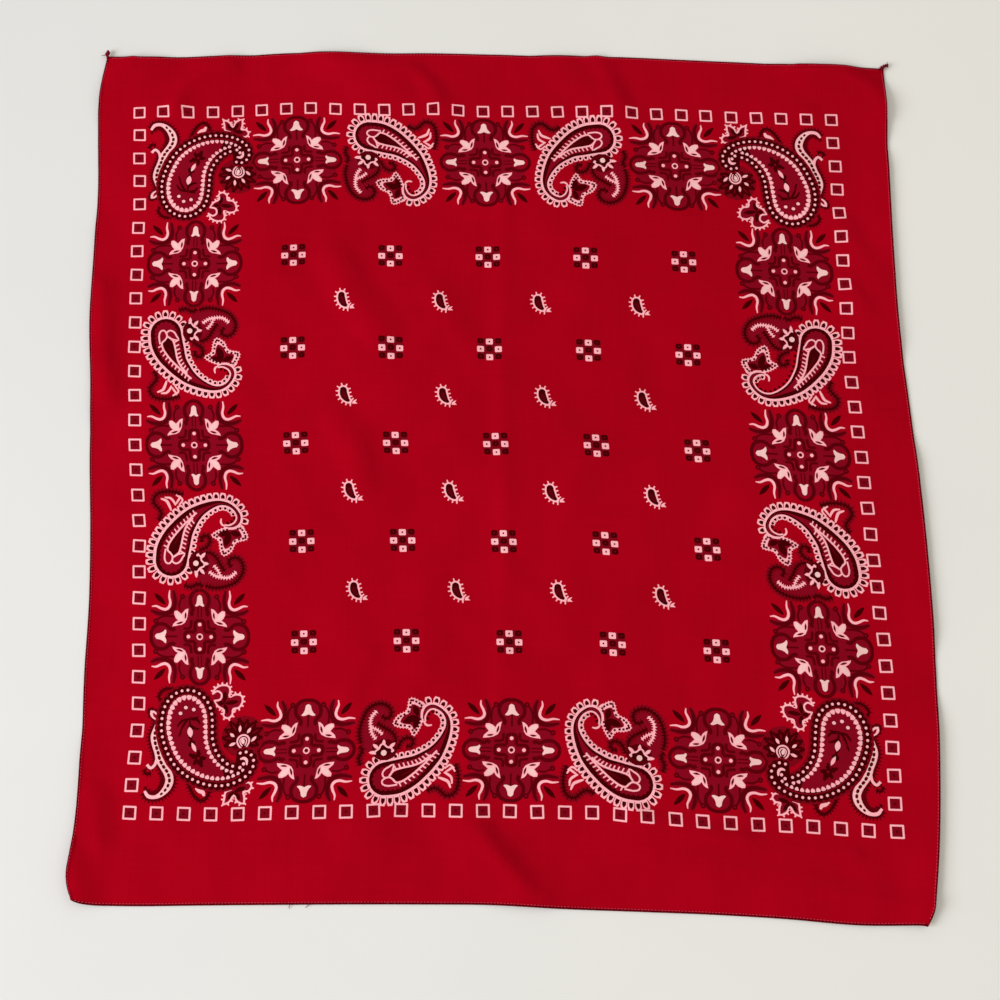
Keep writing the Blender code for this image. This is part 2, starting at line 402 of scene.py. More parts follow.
def medallion():
    """A rosette: a ringed cross, bells and buds in horseshoes, four lilies and four sprays."""
    side = np.array((
        (6.4, 30.4), (10.4, 28.2), (12.9, 24.0), (13.6, 18.4), (15.6, 15.8), (18.2, 13.4), (22.6, 13.6),
        (26.6, 10.6), (28.6, 5.0),
    ))
    ground = mirrored(*side, *side[::-1] * (1, -1))
    cross = [(3.1, 3.2), (3.2, 7.8), (2.4, 9.5), (0.0, 10.2)]
    flat_cross = [(3.2, 3.1), (8.2, 3.1), (10.2, 2.3), (10.9, 0.0)]
    tall_shoe = [
        (5.4, 16.2), (4.5, 18.0), (5.6, 20.2), (7.8, 22.8), (8.2, 26.6), (6.4, 30.2), (3.2, 31.9),
        (0, 32.3),
    ]
    flat_shoe = [
        (14.0, 4.4), (15.6, 5.6), (18.2, 4.5), (21.8, 6.0), (26.4, 6.0), (29.8, 3.6), (31.2, 0),
    ]
    bracket = [(5.3, 10.8), (5.4, 7.4), (6.6, 6.0), (11.0, 5.5)]
    shade = [
        (17.2, 32.4), (15.4, 28.4), (15.0, 23.8), (16.4, 19.2), (20.4, 16.7), (25.0, 16.4),
        (30.6, 17.4),
    ]
    spray = [
        (19.8, 31.8), (20.0, 28.8), (18.6, 25.8), (17.9, 22.8), (19.4, 20.4), (22.6, 19.5),
        (26.6, 20.3), (30.7, 19.9),
    ]
    lily = [
        (6.6, 18.1), (7.5, 14.0), (7.8, 12.0), (9.1, 9.9), (11.8, 8.5), (14.8, 7.9), (18.6, 7.5),
        (17.9, 9.5), (14.9, 12.1), (17.2, 14.9), (16.8, 16.8), (14.6, 16.9), (12.3, 15.9), (10.7, 14.4),
        (9.6, 16.3), (8.1, 17.6),
    ]
    high_spot, low_spot = (10.0, 29.2), (26.6, 11.4)
    lines = ((cross, 2.1), (flat_cross, 2.1), (tall_shoe, 2.4), (flat_shoe, 2.4), (bracket, 1.8))
    quarter = [(MAROON, pen(knots, width)) for knots, width in lines]
    quarter += [
        (ROSE, brush(shade, 5.4, 2.4, 2)),
        (MAROON, brush(shade, 2.9, 1.0)),
        (DARK, leaf((20.9, 22.4), (28.8, 30.4), 3.4)),
        (MAROON, pen([(13.2, 17.0), (13.4, 22.0), (12.6, 25.8), (10.8, 28.6)], 1.3, 2)),
        (MAROON, pen([(17.4, 13.2), (21.4, 13.6), (25.2, 12.2)], 1.3, 2)),
        (MAROON, disc(high_spot, 1.9, corners=7)),
        (MAROON, disc(low_spot, 1.9, corners=7)),
        (ROSE, disc(high_spot, 0.7, corners=4)),
        (ROSE, disc(low_spot, 0.7, corners=4)),
        (PINK, brush(spray, 1.8, 0.6)),
        (PINK, np.array(lily)),
        (CREAM, np.array((
            (10.4, 10.5), (10.9, 13.2), (12.8, 15.2), (15.0, 16.1), (16.4, 15.3), (14.2, 12.2),
        ))),
        (ROSE, leaf((9.9, 10.7), (8.4, 15.8), 1.5, 0.2, steps=5)),
        (ROSE, leaf((11.4, 9.8), (16.4, 9.3), 1.4, -0.2, steps=5)),
        (DARK, leaf((9.6, 11.6), (8.7, 14.8), 0.8, 0.2, steps=5)),
        (DARK, leaf((12.2, 9.7), (15.6, 9.4), 0.8, -0.2, steps=5)),
    ]
    shapes = [(ROSE, ground)]
    for across, up in MIRRORS:
        shapes += turned(quarter, across, up)
    upright = [
        (MAROON, pen([(0, 15.0), (0, 23.4)], 1.2, 1)),
        (CREAM, bell(22.1, 29.7, 4.6, 2.1)),
        (PINK, disc((0, 7.5), 1.25, 1.25)),
    ]
    lying = [
        (MAROON, pen([(-1.1, 12.6), (-1.1, 20.4)], 0.8, 1)),
        (MAROON, pen([(1.1, 12.6), (1.1, 20.4)], 0.8, 1)),
        (CREAM, bell(20.0, 27.8, 3.1, 1.8)),
        (PINK, disc((0, 8.1), 1.25, 1.25)),
    ]
    for side in (1, -1):
        shapes += turned(upright, (side, 0), (0, side)) + turned(lying, (0, -side), (side, 0))
    rings = ((PINK, 2.25, 10), (CRIMSON, 1.35, 8), (DARK, 0.75, 5))
    return shapes + [(ink, disc((0, 0), across, corners=corners)) for ink, across, corners in rings]


def side_paisley():
    """A paisley with a looped white edge, its head to the left, and the sprigs round it."""
    rows = (
        (-14.2, 19.4, 11.2), (-7.0, 18.3, 11.4), (0.7, 15.3, 10.3), (7.2, 11.7, 8.3), (12.5, 7.6, 6.9),
        (17.0, 3.2, 5.6), (20.8, -2.4, 4.2), (23.8, -9.0, 3.0), (25.0, -14.8, 2.2), (24.0, -20.0, 1.8),
        (20.6, -24.4, 1.6), (15.4, -26.8, 1.8), (11.0, -25.2, 1.8), (8.8, -20.6, 1.3),
        (9.4, -16.6, 0.8),
    )
    body = comma(rows)
    spine = round(0.44 * len(body))
    shapes = sprigs()
    for line, wide, heights in (
        (body[: spine + 1], 0.0, (0.7, 0.6, 0.6, 0.62, 0.65, 0.7, 0.75)),
        (body[spine:], 0.35, (0.95, 1.15, 1.3, 1.15, 1.05, 1.0, 1.0, 0.9)),
    ):
        loop = mirrored((-1.9, 0.0), (-1.8 - wide, 3.2), (-1.1 - wide, 4.9))
        eye = mirrored((-0.9 - wide, 1.0), (-0.9 - wide, 2.7), (-0.3, 3.9))
        shapes.append((PINK, backed(line, edged(line, loop, 4.05, heights))))
        shapes += march([(DARK, eye)], line, 4.05, tall=heights)
    shapes += [(PINK, comma(rows, 0.4)), (DARK, comma(rows, -0.65))]
    shapes += band_ground(rows)
    shapes += feathered_seed()
    shapes.append((PINK, brush([(9.2, -17.0), (10.2, -15.2), (12.0, -14.4), (14.4, -14.8)], 1.3, 0.7)))
    return shapes + leaf_flower() + daisy()


def band_ground(rows):
    """The red inside of the side paisley: its dark band is wide above and thin below."""
    bone = curve(rows, 4)
    far = np.linspace(0.0, 1.0, len(bone))
    above = np.interp(far, (0.0, 0.25, 0.5, 0.62, 0.8, 1.0), (4.3, 4.0, 3.2, 2.5, 1.3, 0.9))
    below = np.interp(far, (0.0, 0.12, 0.3, 0.5, 0.8, 1.0), (4.0, 3.0, 2.4, 1.8, 1.1, 0.9))
    left = left_of(bone)
    top = bone[:, :2] + left * (bone[:, 2] - above).clip(0.0)[:, None]
    bottom = bone[:, :2] - left * (bone[:, 2] - below).clip(0.0)[:, None]
    turn = np.linspace(0.0, np.pi, 9)[1:-1, None]
    back = np.array((-left[0, 1], left[0, 0]))
    head = bone[0, :2] + (bone[0, 2] - 4.2) * (np.cos(turn) * left[0] + 1.1 * np.sin(turn) * back)
    ground = np.vstack((bottom[::-1], head[::-1], top))
    near = np.vstack((bottom[9::-1], head[::-1], top[:14]))
    bump = mirrored((-1.3, 0.0), (-0.8, 0.9))
    return [(ROSE, ground), (ROSE, np.vstack((edged(near, bump, 3.0), bone[6:7, :2])))]


def feathered_seed():
    """The feathered seed inside the side paisley: a dark core, two ears and combs of hairs."""
    upper = curve([
        (-9.4, 19.8), (-6.8, 22.0), (-2.2, 20.6), (4.0, 16.2), (9.4, 11.2), (12.6, 7.8), (18.3, 1.6),
    ], 3)
    lower = curve([(-11.8, 17.8), (-8.8, 14.2), (-3.0, 12.5), (3.6, 11.2), (9.6, 8.6), (14.6, 4.4)], 3)
    core = (
        (-11.0, 17.9), (-7.4, 21.2), (-2.6, 19.8), (3.2, 15.6), (8.0, 11.4), (3.4, 11.8), (-3.0, 13.2),
        (-8.0, 15.0),
    )
    ears = (
        [
            (-6.4, 23.2), (-12.0, 24.0), (-15.6, 23.0), (-16.2, 20.6), (-13.8, 18.8), (-11.0, 18.7),
            (-8.4, 20.8),
        ],
        [
            (-11.6, 18.2), (-14.6, 18.8), (-16.3, 16.4), (-15.0, 13.6), (-12.4, 12.0), (-9.4, 10.4),
            (-9.8, 14.4), (-11.8, 17.8),
        ],
    )
    comb = np.array(((-0.5, 0.0), (0.3, 2.8), (1.2, 2.8), (0.5, 0.0)))
    shapes = [(DARK, np.array(core)), (MAROON, leaf((6.6, 12.4), (-4.6, 18.2), 1.4, 0.4, steps=5))]
    shapes.append((PINK, backed(upper[3:], edged(upper[3:], comb, 3.05))))
    shapes.append((PINK, backed(lower[:2:-1], edged(lower[:2:-1], comb * (1, 1.1), 2.75))))
    shapes += [(PINK, pen(ear, 1.1, 2)) for ear in ears]
    return shapes + [(PINK, ribbon(upper, 1.2)), (PINK, ribbon(lower, 1.2))]


def daisy():
    """A white disc in a dark ring, with a wavy white edge and pointed petals."""
    place = np.array((-16.0, 2.9))
    shapes = [(MAROON, disc(place + (0.4, -2.0), 8.4, 7.0, 12))]
    for degrees, reach in ((-178, 9.8), (-142, 9.3), (-92, 8.7), (-42, 9.7), (-14, 7.0)):
        way = heading(degrees)
        shapes.append((PINK, leaf(place + 3.8 * way, place + reach * way, 2.2, belly=1.1)))
    turn = np.radians(np.linspace(170.0, 354.0, 18))
    reach = 5.0 + 0.8 * np.cos(4.6 * (turn - np.pi))
    ring = place + reach[:, None] * np.stack((np.cos(turn), np.sin(turn)), 1)
    inside = np.vstack((ring, place + (3.2, 1.6), place + (-3.2, 1.6)))
    return shapes + [(DARK, inside), (PINK, ribbon(ring, 1.1)), (CREAM, disc(place, 1.9, corners=9))]


def leaf_flower():
    """A three-lobed leaf edged by a ladder of cells, with three dark petals inside."""
    edge = curve([
        (8.4, -19.4), (7.2, -13.8), (3.0, -7.6), (-0.6, -12.4), (-6.4, -13.2), (-10.8, -15.6),
        (-7.8, -21.0), (-2.0, -24.2), (0.4, -32.0), (8.6, -28.6), (8.4, -24.0),
    ], 3)
    middle = np.array((3.6, -19.6))
    inner = middle + (edge - middle) * 0.68
    cell = mirrored((-0.75, -2.1), (-0.75, -0.7))
    barb = np.array(((-0.5, 0.0), (0.0, 0.7), (0.5, 0.0)))
    shapes = [(PINK, edged(edge[::-1], barb, 2.0)), (ROSE, inner)]
    shapes += march([(MAROON, cell)], edge[::-1], 2.6)
    for tip, width in (((3.2, -12.4), 4.0), ((-4.6, -16.6), 4.8), ((2.6, -27.4), 4.0)):
        shapes.append((DARK, leaf((5.4, -20.2), tip, width)))
    return shapes


def sprigs():
    """The dark curls and white buds on the ground round the side paisley."""
    curls = (
        (
            (-31.0, -3.0), (-32.4, -10.0), (-31.0, -18.0), (-27.4, -25.0), (-20.4, -28.8),
            (-14.0, -27.0), (-12.0, -22.4), (-14.8, -18.8), (-18.6, -21.0),
        ),
        ((-9.0, -1.0), (-8.6, -6.0), (-11.6, -10.4), (-16.4, -13.2), (-21.4, -16.4)),
        ((-7.4, 1.0), (-5.0, -4.4), (-1.0, -6.6), (2.6, -5.0), (1.6, -1.0), (-2.0, -1.4)),
        (
            (12.4, 27.6), (17.6, 25.2), (21.6, 27.4), (25.0, 30.2), (29.6, 29.0), (32.2, 24.6),
            (32.6, 17.0), (30.6, 9.4),
        ),
        ((-30.6, 11.0), (-32.0, 6.0), (-29.8, 1.4), (-32.0, -2.0)),
    )
    hollow = [
        (-31.0, 2.0), (-32.4, -10.0), (-27.4, -25.0), (-16.0, -27.6), (-12.0, -20.0), (-7.0, -8.0),
        (-8.0, 2.0),
    ]
    shapes = [(ROSE, np.array(hollow))]
    for knots in curls:
        line = curve(knots, 4)
        shapes += [(CRIMSON, furred(line, 4.6, 1.7, 2.3)), (DARK, furred(line, 1.5, 1.6, 2.2))]
    trunk = curve([(-21.4, -5.8), (-24.4, -10.0), (-25.4, -14.8), (-25.2, -19.8), (-21.6, -24.2)], 4)
    branch = curve([(-17.2, -8.8), (-20.4, -11.6), (-24.8, -13.6)], 4)
    shapes += [(PINK, furred(trunk, 1.2, 1.2, 1.8)), (PINK, furred(branch, 1.0, 1.1, 1.7))]
    buds = (
        ([(19.6, 18.6), (23.2, 19.8), (26.2, 21.4), (27.8, 25.2)], 1.9),
        ([(28.6, 22.6), (28.2, 18.8), (25.8, 16.6), (23.2, 15.4)], 1.6),
        ([(24.2, 15.2), (26.6, 13.6), (28.6, 12.4), (30.4, 14.8)], 1.4),
        ([(23.6, 13.0), (26.8, 10.6), (29.8, 12.6)], 1.3),
    )
    return shapes + [(PINK, brush(knots, widest, 0.9)) for knots, widest in buds]


def corner_paisley():
    """The corner paisley: a toothed edge in a dark band of dots, with its vine and leaves."""
    rim = curve([
        (22.4, 14.9), (16.8, 13.4), (10.4, 9.0), (5.4, 2.8), (2.3, -5.6), (1.3, -15.0), (-0.4, -25.2),
        (-5.2, -31.2), (-11.4, -32.7), (-17.8, -29.8), (-22.0, -22.6), (-22.6, -13.4), (-20.0, -4.4),
        (-14.8, 5.4), (-7.0, 12.6), (2.6, 17.2), (12.2, 18.7), (21.2, 17.2), (28.0, 13.4),
        (30.2, 9.0), (28.0, 6.0), (25.4, 6.9),
    ])
    left = left_of(rim)
    far = np.linspace(0.0, 1.0, len(rim))
    teeth_end = len(rim) - 11
    dots, band = (
        rim + left * np.interp(far, (0.0, 0.12, 0.3, 0.7, 0.93, 1.0), off)[:, None]
        for off in ((3.6, 4.3, 4.8, 4.7, 4.6, 3.2), (4.6, 6.2, 6.7, 6.6, 6.4, 4.4))
    )
    inside, outside = rim + left * 0.4, rim + left * 2.2
    bump = np.array(((-1.2, 0.7), (0.0, 1.1), (1.2, 0.7), (2.05, -0.3)))
    tooth = np.array((
        (-1.65, 0.8), (-1.0, 1.4), (1.0, 1.4), (1.65, 0.8), (1.3, -0.6), (0.2, -1.6), (-1.1, -0.6),
    ))
    sizes = (0.7, 0.85, 0.95, 1.0, 1.0, 1.05, 1.1, 1.1, 1.05, 1.0, 1.0, 1.0, 0.95, 0.9, 0.8, 0.6)
    shapes = vine() + lobed_leaves() + ring_flower()
    shapes += [(CRIMSON, (band + left * 2.2)[::2]), (DARK, edged(band, bump, 4.1))]
    shapes += [(CRIMSON, ribbon(outside[8:-14:2], 0.9)), (ROSE, inside[6:-18])]
    shapes += march([(PINK, tooth)], rim[:teeth_end], 3.4, sizes)
    shapes += march([(PINK, disc((0, 0), 0.98, corners=7))], dots, 4.0)
    shapes += [(PINK, disc(place, 1.1, corners=7)) for place in ((26.0, 11.9), (28.2, 9.6))]
    shapes.append((PINK, brush([(30.3, 10.4), (30.0, 7.4), (28.2, 6.0), (25.8, 6.6)], 1.9, 0.8)))
    return shapes + inner_spray()


def inner_spray():
    """The flower spray inside the corner paisley."""
    middle = (-1.4, 6.2)
    petals = (
        ((-8.0, 3.6), 2.6), ((-4.4, 10.6), 2.4), ((1.6, 12.0), 2.8), ((3.8, 6.0), 2.4),
        ((-1.6, 0.4), 2.2),
    )
    shapes = [(DARK, jagged(middle, tip, width, 0.7, 3)) for tip, width in petals]
    shapes.append((ROSE, disc(middle, 0.9, corners=5)))
    stems = (
        ((-6.6, -3.6), (-7.2, -6.6), (-8.6, -14.0), (-9.4, -20.0)),
        ((-9.2, -19.4), (-12.4, -16.0), (-14.2, -10.6), (-15.4, -7.4)),
        ((-9.0, -15.6), (-5.6, -13.0), (-2.2, -12.6)),
        ((-9.4, -19.0), (-14.2, -17.6), (-17.0, -13.6)),
        ((-9.0, -18.4), (-4.4, -18.6), (-2.0, -15.6)),
    )
    shapes += [(DARK, brush(stem, 1.7, 0.6, 2)) for stem in stems]
    shapes.append((CRIMSON, leaf((-12.0, -14.6), (-14.4, -9.6), 0.8, steps=4)))
    shapes.append((DARK, leaf((-9.4, -20.0), (-3.0, -20.6), 1.6, 1.0)))
    for place in ((-15.3, -22.4), (-11.8, -26.2), (-6.6, -25.0)):
        shapes += [(DARK, disc(place, 1.8, 1.7)), (PINK, disc(place, 1.3, 1.2))]
    return shapes + [
        (DARK, leaf((-7.6, -5.4), (-5.4, -0.6), 5.0)),
        (PINK, leaf((-6.6, -3.8), (-3.3, 2.2), 2.4)),
        (DARK, leaf((-9.0, -15.4), (-7.4, -5.4), 4.4)),
        (PINK, leaf((-9.0, -13.8), (-7.4, -7.0), 3.6, steps=7)),
    ]


def vine():
    """The slotted white vine on the paisley's outer side, with its curls and dark hairs."""
    rows = (
        (-34.4, 27.6, 0.9), (-31.8, 30.8, 1.3), (-27.4, 31.3, 1.3), (-23.4, 29.2, 2.0),
        (-20.0, 25.0, 2.8), (-18.9, 20.2, 3.0), (-20.6, 15.6, 2.9), (-23.8, 11.6, 2.6),
        (-26.4, 7.4, 2.9), (-28.0, 2.6, 2.7), (-30.2, -2.6, 2.7), (-31.2, -7.4, 2.8),
        (-31.0, -11.8, 1.8), (-30.6, -15.6, 0.8), (-30.7, -18.8, 0.8),
    )
    line = curve(rows, 3)
    line[:, 2] *= 0.88
    side = left_of(line) * (line[:, 2:] + 1.6)
    fur = np.array(((-0.7, 0.0), (0.3, 2.2), (0.7, 0.0)))
    outer, inner = line[:, :2] + side, line[:, :2] - side
    ground = np.vstack((edged(outer, fur, 2.2), edged(inner[::-1], fur, 2.2)))
    shade = [(-34.6, 24.6), (-32.2, 28.2), (-28.0, 28.6), (-24.8, 25.0), (-24.0, 19.0), (-26.0, 15.0)]
    curl = curve([(-28.4, 7.0), (-29.2, 10.6), (-31.8, 13.0), (-34.4, 10.8)], 3)
    core = line[7:38] * (1.0, 1.0, 0.6)
    slot = np.array(((-1.5, -0.4), (-0.4, -1.05), (1.2, -0.9), (1.5, 0.4), (0.4, 1.05), (-1.2, 0.9)))
    shapes = [
        (MAROON, ground),
        (MAROON, furred(curve(shade, 3), 1.6, 1.2)),
        (MAROON, furred(curl, 3.2, 1.4, 2.4)),
        (PINK, ribbon(line)),
        (PINK, ribbon(curl, 1.8)),
        (CREAM, ribbon(core)),
    ]
    shapes += march([(MAROON, slot)], line[8:39], 3.4, (0.7, 1.0, 1.0, 1.0, 0.8))
    shapes += [
        (MAROON, jagged((-36.4, -25.4), (-28.4, -16.6), 6.4, 1.2, 4)),
        (PINK, leaf((-35.0, -24.0), (-29.6, -17.4), 4.4, 0.0, 0.8)),
        (ROSE, leaf((-33.6, -22.6), (-30.6, -18.6), 1.9, steps=5)),
    ]
    curls = (
        ((-36.2, 13.6), (-34.6, 16.6), (-31.0, 16.2)),
        ((-19.6, -37.8), (-24.4, -38.2), (-28.4, -35.6), (-29.4, -31.8), (-26.0, -30.4)),
        ((-6.8, 21.4), (-4.6, 26.4), (-1.0, 31.2), (3.4, 33.2), (6.6, 30.0), (7.4, 26.4)),
    )
    for knots in curls:
        line = curve(knots, 4)
        shapes += [(MAROON, furred(line, 2.2, 1.9, 2.0)), (DARK, furred(line, 0.8, 0.9, 2.2))]
    return shapes + [(PINK, brush([(-1.6, 25.0), (1.0, 26.8), (3.2, 27.6), (4.4, 30.0)], 2.6, 1.2))]


def lobed_leaves():
    """Two hairy lobed leaves with dark veins."""
    upper = [
        (21.8, 25.6), (18.0, 27.2), (17.5, 31.0), (17.2, 34.6), (20.8, 33.4), (23.4, 29.4),
        (25.6, 33.0), (29.9, 34.8), (30.2, 30.6), (29.4, 27.4), (32.6, 26.8), (34.4, 24.0),
        (32.2, 21.4), (27.6, 22.6),
    ]
    lower = [
        (5.6, -35.2), (9.0, -37.2), (11.7, -35.2), (10.8, -31.8), (6.6, -30.8), (9.4, -27.2),
        (13.2, -25.0), (12.8, -21.2), (15.8, -19.8), (18.6, -22.0), (19.2, -25.6), (23.2, -26.6),
        (25.4, -30.6), (24.6, -34.2), (20.6, -35.0), (16.8, -33.6), (17.4, -37.6), (16.0, -40.6),
        (11.6, -41.0), (7.8, -39.0), (5.8, -35.6),
    ]
    veins = (
        ((23.4, 26.8), ((19.2, 32.2), (27.8, 32.4), (31.0, 24.6))),
        ((13.4, -29.2), ((15.4, -22.6), (23.2, -30.6), (14.2, -37.4), (9.2, -29.6))),
    )
    shapes = [(ROSE, np.array(upper)), (ROSE, np.array(lower[4:]))]
    for knots, (heart, tips) in zip((upper, lower[4:]), veins):
        shapes += [(DARK, leaf(heart, tip, 3.0)) for tip in tips]
        shapes.append((PINK, hairy(curve(knots, 3), 1.2, 1.3, 2.6)))
    return shapes + [(PINK, pen(lower[:5], 1.2))]


def ring_flower():
    """A white teardrop ring on dark shaggy petals with red veins, and five dashes about it."""
    heart = np.array((26.0, -6.4))
    shapes = [(CRIMSON, disc(heart + (0.6, -1.6), 14.2, 13.4, 14))]
    shapes.append((MAROON, disc(heart + (0.8, -1.4), 10.2, 9.8, 16)))
    spread = np.linspace(158.0, 382.0, 10)
    reaches = (12.6, 13.4, 13.8, 14.6, 14.0, 13.0, 14.4, 14.8, 13.6, 12.2)
    for degrees, reach in zip(spread, reaches):
        way = heading(degrees)
        shapes.append((DARK, jagged(heart + 4.0 * way, heart + reach * way, 3.9, 1.1, 6)))
        shapes.append((CRIMSON, leaf(heart + 6.4 * way, heart + (reach - 2.4) * way, 0.9, steps=4)))
    drop = ((26.9, -4.9, 4.5), (27.2, -2.6, 3.7), (27.7, -0.4, 1.9), (28.0, 1.4, 0.6))
    shapes += [
        (PINK, comma(drop, 0.0, 3)),
        (DARK, comma(drop, -1.1, 3)),
        (PINK, comma(drop[:3], -1.9, 3)),
        (DARK, comma(drop[:3], -2.7, 2)),
        (CREAM, leaf((26.2, -6.8), (27.2, -2.8), 2.4, steps=5)),
    ]
    dashes = (
        ((22.2, -4.0), (17.8, -2.1)), ((21.0, -7.8), (17.8, -10.0)), ((24.2, -10.6), (24.2, -15.1)),
        ((29.0, -9.8), (31.3, -13.4)), ((32.0, -4.4), (35.2, -7.8)),
    )
    return shapes + [(PINK, leaf(foot, tip, 1.9)) for foot, tip in dashes]


def print_shapes():
    """The whole print: the frame of squares, the field, and the border's motifs."""
    shapes = []
    wobble = np.random.default_rng(7)
    for step in np.linspace(-FRAME_HALF, FRAME_HALF, FRAME_SQUARES + 1)[:-1]:
        for across, up in QUARTER_TURNS:
            lean = np.radians(wobble.normal(0.0, SQUARE_LEAN))
            tilt = ((np.cos(lean), np.sin(lean)), (-np.sin(lean), np.cos(lean)))
            place = np.array((step, FRAME_HALF)) @ np.array((across, up))
            shapes += turned(frame_square(), *tilt, place + wobble.normal(0.0, SQUARE_SHIFT, 2))
    pitch_x, pitch_y = FIELD_PITCH
    for motif, stands, shift in ((check(), CHECKS, CHECK_SHIFT), (little_seed(), SEEDS, SEED_SHIFT)):
        for x in stands * pitch_x:
            for y in stands * pitch_y:
                shapes += turned(motif, *UPRIGHT, np.add((x, y), shift))
    rosette = medallion()
    for number in ROSETTES:
        for side in (1, -1):
            shapes += turned(rosette, *UPRIGHT, (ROW_PITCH * number, side * ROSETTE_ROWS))
            shapes += turned(rosette, *UPRIGHT[::-1], (side * ROSETTE_COLUMNS, COLUMN_PITCH * number))
    paisley, corner = side_paisley(), corner_paisley()
    for motif, place, ways in (
        (paisley, (-ROW_PITCH / 2.0, BORDER), MIRRORS),
        (paisley, (-COLUMN_PITCH / 2.0, PAISLEY_COLUMNS), SWAPPED_MIRRORS),
        (corner, CORNER, MIRRORS),
    ):
        for across, up in ways:
            shapes += turned(turned(motif, *UPRIGHT, place), across, up)
    return shapes


# -------------------------------------------------------------------- laying it down


def smooth_row(values, place):
    """A smooth curve through evenly spaced values, read at places from 0 to 1."""
    steps = 32
    stations = np.array(values, float)[:, None]
    row = curve(np.hstack((np.arange(len(values))[:, None] * 1.0, stations)), steps)
    return np.interp(np.clip(place, 0.0, 1.0), np.linspace(0.0, 1.0, len(row)), row[:, 1])


def cloth_plan(across, up):
    """Where a point of the cloth lies, from 0 to 1 across and up it.

    The four corners are blended evenly, and each side's bow fades out towards the
    opposite side. A corner's pull fades as the square of what is left of its reach.
    """
    across, up = np.broadcast_arrays(np.asarray(across, float), np.asarray(up, float))
    weights = {
        "bottom_left": (1.0 - across) * (1.0 - up),
        "bottom_right": across * (1.0 - up),
        "top_left": (1.0 - across) * up,
        "top_right": across * up,
    }
    plan = sum(np.multiply.outer(weights[name], CORNERS[name]) for name in CORNERS)
    plan[..., 0] += smooth_row(SIDE_BOWS["right"], up) * across
    plan[..., 0] -= smooth_row(SIDE_BOWS["left"], up) * (1.0 - across)
    plan[..., 1] += smooth_row(SIDE_BOWS["top"], across) * up
    plan[..., 1] -= smooth_row(SIDE_BOWS["bottom"], across) * (1.0 - up)
    pulls = np.zeros_like(plan)
    for name, (pull, reach) in CORNER_PULLS.items():
        distance = np.linalg.norm(plan - CORNERS[name], axis=-1)
        pulls += np.multiply.outer(np.clip(1.0 - distance / reach, 0.0, None) ** 2, pull)
    return plan + pulls


def cloth_edge(inset, step):
    """The cloth's outline, anticlockwise, set in from its edge, with points about a step apart."""
    columns = np.linspace(inset / CLOTH_WIDTH, 1.0 - inset / CLOTH_WIDTH, round(CLOTH_WIDTH / step))
    rows = np.linspace(inset / CLOTH_HEIGHT, 1.0 - inset / CLOTH_HEIGHT, round(CLOTH_HEIGHT / step))
    there = ((columns, rows[0]), (columns[-1], rows))
    back = ((columns[::-1], rows[-1]), (columns[0], rows[::-1]))
    return np.vstack([cloth_plan(*side)[:-1] for side in there + back])


def print_plan(points):
    """Where points of the flat print lie: its middle and directions, and its sides' bows."""
    part = (points / FRAME_HALF + 1.0) / 2.0
    stations = np.linspace(0.0, 1.0, len(PRINT_BOWS["left"]))
    bow = {side: np.interp(part, stations, row) for side, row in PRINT_BOWS.items()}
    plan = PRINT_MIDDLE + points @ np.array((PRINT_ACROSS, PRINT_UP))
    plan[:, 0] += part[:, 0] * bow["right"][:, 1] + (1.0 - part[:, 0]) * bow["left"][:, 1]
    plan[:, 1] += part[:, 1] * bow["top"][:, 0] + (1.0 - part[:, 1]) * bow["bottom"][:, 0]
    return plan


def ridges(plan, table):
    """How high the table's ridges stand at each place.

    Each adds its height times (1 - (d / w) squared) squared, where d is the distance to
    its line and w its half width.
    """
    lift = np.zeros(len(plan))
    for line, half_width, height in table.values():
        line = np.array(line, float)
        distance = np.full(len(plan), np.inf)
        for start, end in zip(line[:-1], line[1:]):
            run = end - start
            part = np.clip((plan - start) @ run / (run @ run), 0.0, 1.0)
            nearest = start + part[:, None] * run
            distance = np.minimum(distance, np.linalg.norm(plan - nearest, axis=1))
        lift += height * np.clip(1.0 - (distance / half_width) ** 2, 0.0, None) ** 2
    return lift


def laid(points):
    """Places in the part's frame, in metres: it stands under the middle of the cloth's box."""
    outline = cloth_edge(0.0, 1.5)
    middle = (outline.min(axis=0) + outline.max(axis=0)) / 2.0
    return (points - (*middle, 0.0)) * MM


# ----------------------------------------------------------------------- making pieces

# An edge sharper than this isn't smoothed over.
SHARP = np.radians(50.0)


def make_piece(name, points, faces, material):
    """A piece from its points in metres and its faces, on the part's one body."""
    mesh = bpy.data.meshes.new(name)
    mesh.from_pydata(points.tolist(), [], [face for rows in faces for face in rows.tolist()])
    mesh.shade_smooth()
    mesh.set_sharp_from_angle(angle=SHARP)
    mesh.materials.append(material)
    piece = bpy.data.objects.new(name, mesh)
    bpy.context.scene.collection.objects.link(piece)
    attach(piece, "root")
    return piece


def tube_faces(rings, sides):
    """The quads of a tube of rings with so many sides each, facing out."""
    ring, side = np.meshgrid(np.arange(rings - 1), np.arange(sides), indexing="ij")
    here, ahead = ring * sides + side, ring * sides + (side + 1) % sides
    return np.stack((here, here + sides, ahead + sides, ahead), -1).reshape(-1, 4)


def tube_and_ends(rings, sides):
    """The faces of a tube closed by two points after its rings, one in each end's middle."""
    side = np.arange(sides)
    after = (side + 1) % sides
    last, middle = (rings - 1) * sides, rings * sides
    first = np.stack((side, after, np.full(sides, middle)), 1)
    final = np.stack((last + after, last + side, np.full(sides, middle + 1)), 1)
    return [tube_faces(rings, sides), first, final]


